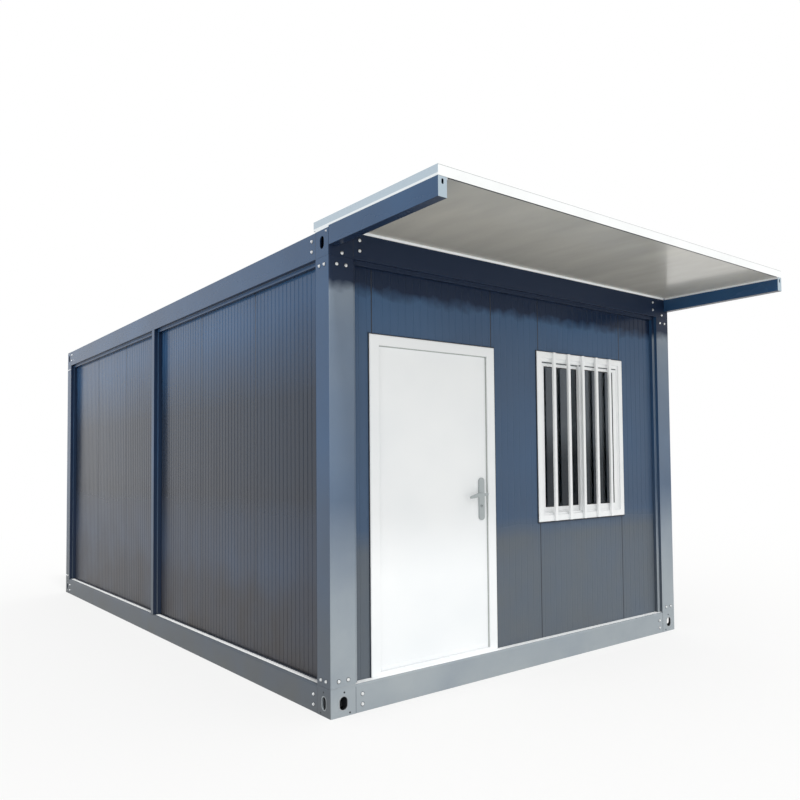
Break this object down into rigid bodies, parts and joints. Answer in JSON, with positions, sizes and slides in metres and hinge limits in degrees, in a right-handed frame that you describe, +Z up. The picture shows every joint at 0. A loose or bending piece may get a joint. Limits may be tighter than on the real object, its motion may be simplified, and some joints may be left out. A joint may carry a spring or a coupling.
{
  "type": "modular home",
  "caption": "Steel-framed flat-roofed cabin with sandwich-panel walls, an inward-opening door, a sliding window and a front canopy.",
  "frame": {"origin": "on the ground under the middle of the whole object, canopy included", "axes": "+Z up; the front, with the door, window and canopy, faces -Y; +Y runs along the length to the rear; +X is to the right seen from the front"},
  "size_m": [3, 6.95, 2.6919],
  "materials": {
    "frame_paint": "gloss steel-navy enamel on roll-formed steel",
    "wall_sheet": "gloss steel-navy coil-coated sheet",
    "canopy_sheet": "white coil-coated sheet",
    "ceiling_sheet": "off-white ceiling board",
    "roof_sheet": "pale grey coil-coated sheet",
    "zinc_steel": "galvanised steel",
    "floor_board": "board floor",
    "door_paint": "white satin powder coat",
    "window_profile": "white window profile",
    "window_glass": "clear float glass",
    "door_fittings": "satin steel"
  },
  "bodies": {
    "house": {"base_beam_front": "frame_paint", "base_beam_left": "frame_paint", "base_beam_rear": "frame_paint", "base_beam_right": "frame_paint", "base_corner_blocks": "frame_paint", "canopy_arm_left": "frame_paint", "canopy_arm_right": "frame_paint", "canopy_bearer": "canopy_sheet", "canopy_edge_cap": "canopy_sheet", "canopy_panel": "canopy_sheet", "canopy_trim": "canopy_sheet", "ceiling": "ceiling_sheet", "corner_splices": "frame_paint", "door_frame": "door_paint", "door_hinges_on_frame": "door_fittings", "floor_board": "floor_board", "floor_joists": "zinc_steel", "front_wall_left": "wall_sheet", "front_wall_middle": "wall_sheet", "front_wall_over_door": "wall_sheet", "front_wall_right": "wall_sheet", "front_wall_window_infill": "wall_sheet", "left_wall_front_bay": "wall_sheet", "left_wall_rear_bay": "wall_sheet", "mid_post_left": "frame_paint", "mid_post_right": "frame_paint", "post_front_left": "frame_paint", "post_front_right": "frame_paint", "post_rear_left": "frame_paint", "post_rear_right": "frame_paint", "rear_wall": "wall_sheet", "right_wall_front_bay": "wall_sheet", "right_wall_rear_bay": "wall_sheet", "roof_panels": "roof_sheet", "roof_purlins": "zinc_steel", "top_beam_front": "frame_paint", "top_beam_left": "frame_paint", "top_beam_rear": "frame_paint", "top_beam_right": "frame_paint", "top_corner_blocks": "frame_paint", "window_frame": "window_profile", "window_panes": "window_glass", "window_sash_left": "window_profile", "window_sash_right": "window_profile"},
    "door": {"door_leaf": "door_paint", "door_hinges_on_leaf": "door_fittings", "door_lock_plates": "door_fittings"},
    "lever": {"door_lever": "door_fittings"}
  },
  "joints": [
    {"name": "door_hinge", "type": "hinge", "parent": "house", "child": "door", "pos_m": [-1.1745, -2.3625, 1.1], "axis": [0, 0, 1], "range_deg": [0, 95]},
    {"name": "lever_turn", "type": "hinge", "parent": "door", "child": "lever", "pos_m": [-0.411, -2.392, 1.142], "axis": [0, -1, 0], "range_deg": [0, 40], "stiffness_Nm_per_rad": 1, "springref_deg": -22.92}
  ]
}
